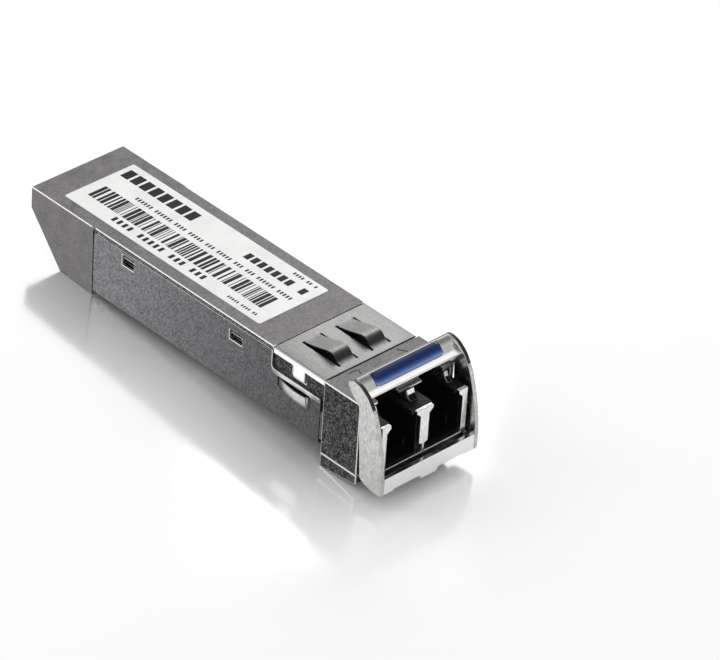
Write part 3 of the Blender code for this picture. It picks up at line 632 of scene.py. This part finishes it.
def face_middles(mesh):
    """The middle of every face as (x, d, h) in millimetres."""
    middles = np.empty(len(mesh.polygons) * 3)
    mesh.polygons.foreach_get("center", middles)
    middles = middles.reshape(-1, 3) / MM
    return np.column_stack([middles[:, 0], REAR - middles[:, 1], middles[:, 2] - UNDERSIDE])


# %% [markdown]
# ## The castings' regions
#
# A casting takes its finish by place. The nose's walls, the steps in which the clip's hooks lie
# and the bosses in the wrap's windows are coarse and painted darker as shade; the catches over
# the ports are bright in front and painted near black on top as the crossbar's shadow; the
# pockets under the clip are painted near black as shade.

# %% Castings
NOSE_START, CLIP_START, CATCH_START = 47.4, 39.6, 52.05
for node in ("upper_housing", "lower_housing"):
    extra = (shaded_nose_zinc, frame_nickel, painted_shade_black)
    casting = rounded(node, "module", body_zinc, 0.10, worn=worn_highlight_zinc, extra=extra)
    x, d, h = face_middles(casting.data).T
    aside = np.abs(x)
    wall = (d > NOSE_START) & (h < ROOF - 0.2)
    hook_step = (d > 39.3) & (d < NOSE_START) & (aside > 6.0)
    boss = (d > 11) & (d < 39) & (aside > 5.7)
    catch = (d > CATCH_START) & (h > 6.6) & (h < ROOF - 0.3) & (aside < 6.1)
    catch_top = catch & (face_normals(casting.data)[:, 2] > 0.6)
    under_clip = (d > CLIP_START) & (d < NOSE_START + 0.15) & (h > 7.6) & (aside < 6.0)
    # Painted shade: index 2 darkens the nose's walls, hook steps and window pockets; index 4 paints the
    # catches' tops and the pockets under the clip near black.
    index = np.select([catch_top, catch, under_clip, wall | hook_step | boss], [4, 3, 4, 2], 0)
    casting.data.polygons.foreach_set("material_index", index.astype(np.int32))
    print(casting.name, len(casting.data.polygons), "faces,", int(wall.sum()), "on the nose")

# %% [markdown]
# ## The sheet pieces, the receptacle and the bail
#
# Two of them have a place with a finish of its own. The rails on the receptacle's floor end in a
# painted glint of bright steel, and the bail's side plates keep, along their rolled-over tops, the
# dull edge that the press left, painted near black as shade.

# %% Pressings and mouldings
rounded("wrap_shell", "module", wrap_steel, 0.07, worn=worn_highlight_steel)
rounded("emi_clip", "module", clip_steel, 0.045)
receptacle = rounded(
    "receptacle", "module", black_moulding, 0.06, extra=(pin_steel,)
)
x, d, h = face_middles(receptacle.data).T
facing_out = face_normals(receptacle.data)[:, 1] < -0.9
# Painted glint: the front faces of the rails' ends take bright steel.
rail_glint = (d > 53.7) & (d < 54.0) & (h > 1.22) & (h < 2.15) & facing_out
receptacle.data.polygons.foreach_set("material_index", np.where(rail_glint, 2, 0).astype(np.int32))
print("rail ends:", int(rail_glint.sum()))

rounded("port_frame", "module", frame_nickel, 0.06, segments=3)
bail = rounded(
    "bail_frame", "bail", bail_nickel, 0.05, segments=3, extra=(shaded_sheared_nickel,)
)
x, d, h = face_middles(bail.data).T
out_x, _, out_z = face_normals(bail.data).T
PLATES_FROM, SHADED_TOPS_FROM = 6.6, 9.0
# The upward faces along the side plates' tops: dull sheared edges, painted near black as shade.
shaded_plate_tops = (np.abs(x) > PLATES_FROM) & (np.abs(out_x) < 0.5) & (h > SHADED_TOPS_FROM) & (out_z > 0.1)
bail.data.polygons.foreach_set("material_index", np.where(shaded_plate_tops, 2, 0).astype(np.int32))
print("sheared faces:", int(shaded_plate_tops.sum()))

rounded("latch_lever", "latch", body_zinc, 0.06, worn=worn_highlight_zinc)
rounded("circuit_board", "module", solder_mask, 0.03)
rounded("barrel_clamp", "module", wrap_steel, 0.06)

# %% [markdown]
# ## Pieces from profiles
#
# The rest are new pieces, and most of them are grids: rows of one closed profile carried along a
# path. One function turns such a grid of points into a mesh, closed round the profile, with flat
# ends.


# %% Grids into meshes
def add_piece(name, points, faces, finish, body, stands_for=(), smooth=True):
    """A mesh piece from points and faces. Without a body it rides on none yet."""
    mesh = bpy.data.meshes.new(name)
    mesh.from_pydata(points.reshape(-1, 3).tolist(), [], faces)
    mesh.materials.append(finish.material)
    if smooth:
        mesh.shade_smooth()
        mesh.set_sharp_from_angle(angle=math.radians(40))
    piece = bpy.data.objects.new(name, mesh)
    bpy.context.scene.collection.objects.link(piece)
    if body:
        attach(piece, body)
    if stands_for:
        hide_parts(*stands_for)
    return piece


def tube_faces(rows, columns, turned=False):
    """Quads between the rows of a closed profile, and the two end faces; turned round on request."""
    start = np.arange(rows - 1)[:, None] * columns + np.arange(columns)
    after = np.arange(rows - 1)[:, None] * columns + (np.arange(columns) + 1) % columns
    quads = np.stack([start, after, after + columns, start + columns], axis=-1).reshape(-1, 4)
    last = (rows - 1) * columns + np.arange(columns)
    faces = [*quads.tolist(), np.arange(columns)[::-1].tolist(), last.tolist()]
    return [face[::-1] for face in faces] if turned else faces


# %% [markdown]
# ## The blue grip
#
# A bead of blue plastic is moulded into a trough on the crossbar, where a finger pulls. Its
# section is a flat foot with a rounded crown, and it narrows at both ends, like a sausage with a
# short blunt tip. So the grid is the section carried along X, scaled by a quarter circle near
# each end.

# %% Grip
GRIP_HALF = (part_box("bail_grip")[1].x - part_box("bail_grip")[0].x) / 2 / MM
GRIP_LOW, GRIP_HIGH = np.array([53.45, 10.02]), np.array([52.05, 11.06])
GRIP_CROWN, GRIP_FOOT, GRIP_TIP, TIP_WIDTH = 0.34, 0.18, 0.6, 0.12


def grip_points(rows=49, columns=28):
    """Section: the bed line plus a crown of 0.34 sin(pi t)^0.6.

    Near both ends it shrinks as a quarter circle, sqrt(1 - (1 - e)^2), with e from 0 to 1.
    """
    width = np.linalg.norm(GRIP_HIGH - GRIP_LOW)
    along = (GRIP_HIGH - GRIP_LOW) / width
    out = np.array([along[1], -along[0]])
    t = np.linspace(0, 1, columns - 2)
    rise = np.concatenate([GRIP_CROWN * np.sin(np.pi * t) ** 0.6, [-GRIP_FOOT, -GRIP_FOOT]])
    run = np.concatenate([t * width, [width, 0]])
    x = GRIP_HALF * np.sin(np.linspace(-np.pi / 2, np.pi / 2, rows))
    end = np.clip((GRIP_HALF - np.abs(x)) / GRIP_TIP, 0, 1)
    shrink = TIP_WIDTH + (1 - TIP_WIDTH) * np.sqrt(1 - (1 - end) ** 2)
    run_grid = width / 2 + (run[None, :] - width / 2) * shrink[:, None]
    rise_grid = np.where(rise[None, :] > 0, rise[None, :] * shrink[:, None], rise[None, :])
    section = GRIP_LOW + run_grid[..., None] * along + rise_grid[..., None] * out
    return place(np.broadcast_to(x[:, None], run_grid.shape), section[..., 0], section[..., 1])


grid = grip_points()
faces = tube_faces(*grid.shape[:2], turned=True)
add_piece("grip_bead", grid, faces, blue_moulding, "bail", ["bail_grip"])
print("grip bead", grid.shape[:2], "points")

# %% [markdown]
# ## The label and its print
#
# The label is a film with small rounded corners, so its outline is a rounded rectangle: a
# superellipse would bulge, so the corners are arcs. The print is ink that stands proud by a hair:
# bars of a code across the label, and plain bars where a real module has its texts, because this
# part carries no words.

# %% Label
LABEL_LOW, LABEL_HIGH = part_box("label")
LABEL_X = (LABEL_LOW.x / MM, LABEL_HIGH.x / MM)
LABEL_D = (REAR - LABEL_HIGH.y / MM, REAR - LABEL_LOW.y / MM)
FILM_TOP = LABEL_HIGH.z / MM - UNDERSIDE
FILM_GAP, CORNER_RADIUS = 0.005, 0.25


def rounded_plate(x, d, bottom, top, radius, steps=8, lip=0.02):
    """Rings of a rounded rectangle, up the wall and onto the face.

    Each quarter is the corner's middle + r (cos a, sin a), with a from 0 to 90 degrees.
    """
    turn = np.radians(np.linspace(0, 90, steps))
    quarter = np.column_stack([np.cos(turn), np.sin(turn)])
    corners = []
    for k, (cx, cd) in enumerate(((x[1], d[1]), (x[0], d[1]), (x[0], d[0]), (x[1], d[0]))):
        c, s = round(math.cos(k * math.pi / 2)), round(math.sin(k * math.pi / 2))
        arm = quarter @ np.array([[c, s], [-s, c]])
        inward = np.array([1 if cx == x[1] else -1, 1 if cd == d[1] else -1])
        middle = np.array([cx, cd]) - radius * inward
        corners.append(np.stack([arm, np.broadcast_to(middle, arm.shape)]))
    arm, middle = np.concatenate(corners, axis=1)
    rings = [middle + arm * r for r in (radius, radius, radius - lip)]
    heights = (bottom, top - lip, top)
    return np.stack([place(ring[:, 0], ring[:, 1], h) for ring, h in zip(rings, heights)])


grid = rounded_plate(LABEL_X, LABEL_D, ROOF + FILM_GAP, FILM_TOP, CORNER_RADIUS)
faces = tube_faces(*grid.shape[:2], turned=True)
add_piece("label_sheet", grid, faces, label_film, "module", ["label"], smooth=False)
print(f"label {LABEL_X[1] - LABEL_X[0]:.1f} x {LABEL_D[1] - LABEL_D[0]:.1f} mm")


# %% Print
def spans(x0, x1, d0, d1):
    """The four limits of some boxes as arrays of one length."""
    return np.broadcast_arrays(*(np.atleast_1d(np.asarray(v, float)) for v in (x0, x1, d0, d1)))


def bars(x0, x1, d0, d1, bottom, top):
    """Thin boxes as one mesh: whole arrays of their two corners in, all points and quads out."""
    x0, x1, d0, d1 = spans(x0, x1, d0, d1)
    xs = np.stack([x0, x1, x1, x0] * 2, axis=-1)
    ds = np.stack([d0, d0, d1, d1] * 2, axis=-1)
    hs = np.broadcast_to([bottom] * 4 + [top] * 4, xs.shape)
    sides = [(0, 1, 2, 3), (7, 6, 5, 4), (0, 4, 5, 1), (1, 5, 6, 2), (2, 6, 7, 3), (3, 7, 4, 0)]
    quads = (np.arange(len(x0))[:, None, None] * 8 + np.array(sides)).reshape(-1, 4)
    return place(xs, ds, hs), quads.tolist()


CODE_X, CODE_D, CODE_UNIT, MOST_BARS = (-2.95, -0.3), (5.1, 33.4), 0.125, 200
INK_LOW, INK_HIGH = FILM_TOP - 0.004, FILM_TOP + 0.006
TEXT_ROWS = (  # middle x, height, first d, last d, step, share inked, letters in a word
    (3.2, 1.7, 4.4, 17.2, 1.5, 0.78, (50, 51)),
    (0.72, 0.55, 9.0, 34.8, 0.46, 0.55, (3, 9)),
    (-3.85, 0.85, 10.4, 26.2, 0.85, 0.55, (3, 9)),
    (2.7, 1.15, 24.8, 35.0, 1.08, 0.72, (5, 8)),
    (4.35, 0.46, 30.6, 34.8, 0.42, 0.6, (3, 5)),
    (-4.15, 0.38, 29.4, 34.2, 0.36, 0.6, (3, 6)),
)
draw = np.random.default_rng(7)
inked = draw.choice([1, 1, 2, 3, 4], size=MOST_BARS)
bare = draw.choice([1, 1, 1, 2, 3], size=MOST_BARS)
widths = np.cumsum(np.column_stack([inked, bare]).ravel())
code_edges = CODE_D[0] + np.concatenate([[0], widths]) * CODE_UNIT
code_edges = code_edges[: np.searchsorted(code_edges, CODE_D[1]) // 2 * 2]


def text_row(x, height, start, end, step, cover, word):
    """A line of plain blocks where letters would stand, with a step left out after each word."""
    starts = np.arange(start, end - step, step)
    gaps = np.cumsum(draw.integers(*word, size=200))
    starts = np.delete(starts, gaps[gaps < len(starts)])
    return x - height / 2, x + height / 2, starts, starts + step * cover


rows = [(*CODE_X, code_edges[0::2], code_edges[1::2]), *(text_row(*row) for row in TEXT_ROWS)]
joined = [np.concatenate(limits) for limits in zip(*(spans(*row) for row in rows))]
points, faces = bars(*joined, INK_LOW, INK_HIGH)
add_piece("label_print", points, faces, label_ink, "module", smooth=False)
print("print:", len(joined[0]), "bars")

# %% [markdown]
# ## Marks on the nose's roof
#
# The die leaves a few shallow marks beside the bail: a corner-shaped one on the left, a short
# slanting one on the right and an ejector spot. The shade in them is painted as dark lines: each
# is a path drawn out with a flat, rounded section of near-black that stands on the roof by a
# hair.


# %% Roof marks
def drawn_line(path, width, height, steps=9):
    """Half ellipses (width / 2 cos a, height sin a), set square to a path on the roof."""
    path = np.asarray(path, float)
    ahead = np.gradient(path, axis=0)
    ahead /= np.linalg.norm(ahead, axis=1, keepdims=True)
    side = np.column_stack([ahead[:, 1], -ahead[:, 0]])
    turn = np.linspace(0, np.pi, steps)
    taper = np.sqrt(np.clip(1 - np.linspace(-1, 1, len(path)) ** 8, 0.04, 1))
    across_path = np.cos(turn)[None, :] * width / 2 * taper[:, None]
    rise = np.sin(turn)[None, :] * height + np.zeros((len(path), 1))
    spots = path[:, None, :] + across_path[..., None] * side[:, None, :]
    return place(spots[..., 0], spots[..., 1], ROOF - 0.002 + rise)


def rounded_path(corners, samples=14, reach=0.22):
    """A path whose corners are the curves (1 - t)^2 start + 2 t (1 - t) corner + t^2 end."""
    corners = np.asarray(corners, float)
    points = [corners[:1]]
    for before, here, after in zip(corners, corners[1:], corners[2:]):
        start = here + (before - here) / np.linalg.norm(before - here) * reach
        end = here + (after - here) / np.linalg.norm(after - here) * reach
        t = np.linspace(0, 1, samples)[:, None]
        points.append((1 - t) ** 2 * start + 2 * t * (1 - t) * here + t**2 * end)
    points.append(corners[-1:])
    return evenly(np.concatenate(points), 40)


def evenly(path, rows):
    """The same path with its points at even steps of its length."""
    run = np.concatenate([[0], np.cumsum(np.linalg.norm(np.diff(path, axis=0), axis=1))])
    even = np.linspace(0, run[-1], rows)
    return np.column_stack([np.interp(even, run, path[:, k]) for k in (0, 1)])


MARK_HEIGHT = 0.012
MARKS = (
    ("mark_left", [(-3.96, 48.01), (-2.56, 48.08), (-2.88, 48.88)], 0.13),
    ("mark_right", [(3.16, 47.96), (3.92, 49.06)], 0.16),
    ("mark_ejector", [(-5.62, 49.44), (-5.50, 49.50)], 0.16),
)
# Painted shade: each mark is a near-black strip where the shade of a shallow groove falls.
for name, corners, width in MARKS:
    grid = drawn_line(rounded_path(corners), width, MARK_HEIGHT)
    add_piece(name, grid, tube_faces(*grid.shape[:2]), painted_shade_black, "module")
print("roof marks:", len(MARKS))

# %% [markdown]
# ## The latch spring
#
# A leaf of spring steel is held under the floor's end and presses on the lever's boss. When the
# bail is pulled down, the boss lifts the leaf's free end, so the leaf bends between the module
# and the latch: its rings stand close together, and each takes its share of the turn.

# %% Latch spring
LEAF_PATH = np.array(
    [(40.6, 1.42), (43.4, 1.42), (44.3, 1.2), (45.2, 0.85), (45.8, 0.66), (46.2, 0.66)]
)
LEAF_HALF, LEAF_SHEET, LEAF_TRIM = 0.9, 0.12, 0.03
LEAF_HELD, LEAF_FREE, LEAF_LEVEL = 43.4, 45.9, 1.3


def leaf_rings(rows=49):
    """A rectangle with trimmed corners along the path: ring = path + x across + t down the normal."""
    path = evenly(LEAF_PATH, rows)
    ahead = np.gradient(path, axis=0)
    ahead /= np.linalg.norm(ahead, axis=1, keepdims=True)
    down = np.column_stack([ahead[:, 1], -ahead[:, 0]])
    inner, low = LEAF_HALF - LEAF_TRIM, LEAF_SHEET - LEAF_TRIM
    x = np.array([-inner, inner, LEAF_HALF, LEAF_HALF, inner, -inner, -LEAF_HALF, -LEAF_HALF])
    t = np.array([0, 0, LEAF_TRIM, low, LEAF_SHEET, LEAF_SHEET, low, LEAF_TRIM])
    spots = path[:, None, :] + t[None, :, None] * down[:, None, :]
    return place(np.broadcast_to(x, spots.shape[:2]), spots[..., 0], spots[..., 1])


grid = leaf_rings()
faces = tube_faces(*grid.shape[:2], turned=True)
leaf = add_piece("leaf_spring", grid, faces, spring_steel, None, ["latch_spring"])
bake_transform(leaf, "module", "latch", place(0, LEAF_HELD, LEAF_LEVEL), place(0, LEAF_FREE, LEAF_LEVEL))
print("leaf spring", grid.shape[:2], "points")

# %% [markdown]
# ## The edge contacts
#
# The host's connector grips the board's tongue and touches gold fingers on both faces. There are
# ten a side at a pitch of 0.8 mm; power and ground reach a little further to the edge, so that
# they touch first.

# %% Contacts
PITCH, PAD_WIDTH, PAD_END = 0.8, 0.56, 3.6
PAD_FOOT, PAD_CROWN = 0.003, 0.035  # how far the gold's two faces stand from the board
PADS = np.arange(10)
FIRST_PADS = (0, 3, 4, 9)
BOARD_LOW, BOARD_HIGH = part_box("circuit_board")
board_rear = REAR - BOARD_HIGH.y / MM
board_top, board_bottom = BOARD_HIGH.z / MM - UNDERSIDE, BOARD_LOW.z / MM - UNDERSIDE
low_x = (PADS - 4.5) * PITCH - PAD_WIDTH / 2
high_x = (PADS - 4.5) * PITCH + PAD_WIDTH / 2
pad_start = board_rear + np.where(np.isin(PADS, FIRST_PADS), 0.35, 0.75)
for name, low, high in (
    ("contacts_top", board_top + PAD_FOOT, board_top + PAD_CROWN),
    ("contacts_underside", board_bottom - PAD_CROWN, board_bottom - PAD_FOOT),
):
    points, faces = bars(low_x, high_x, pad_start, board_rear + PAD_END, low, high)
    add_piece(name, points, faces, gold_plate, "module", smooth=False)
print("contacts: 2 x", len(PADS))

# %% [markdown]
# ## Finishes for the rest
#
# The pieces whose solids are right already keep them and only change their material: pins,
# barrels, cans, the flexible circuits and the parts on the board.

# %% Other nodes
KEPT = {
    pin_steel: ("pivot_pin_left", "pivot_pin_right", "lever_pin", "transmit_barrel", "receive_barrel"),
    gold_plate: ("transmit_can", "receive_can"),
    amber_film: ("transmit_flex", "receive_flex"),
    ceramic: ("fibre_stub", "input_capacitor", "output_capacitor"),
    chip_epoxy: ("driver_ic", "amplifier_ic", "memory_ic"),
    ferrite: ("supply_inductor", "receive_inductor"),
    spring_steel: ("crystal",),
    thermal_pad: ("thermal_pad",),
}
for finish, nodes in KEPT.items():
    for node in nodes:
        for material_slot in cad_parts[node].material_slots:
            material_slot.material = finish.material
print("kept nodes:", sum(len(nodes) for nodes in KEPT.values()))
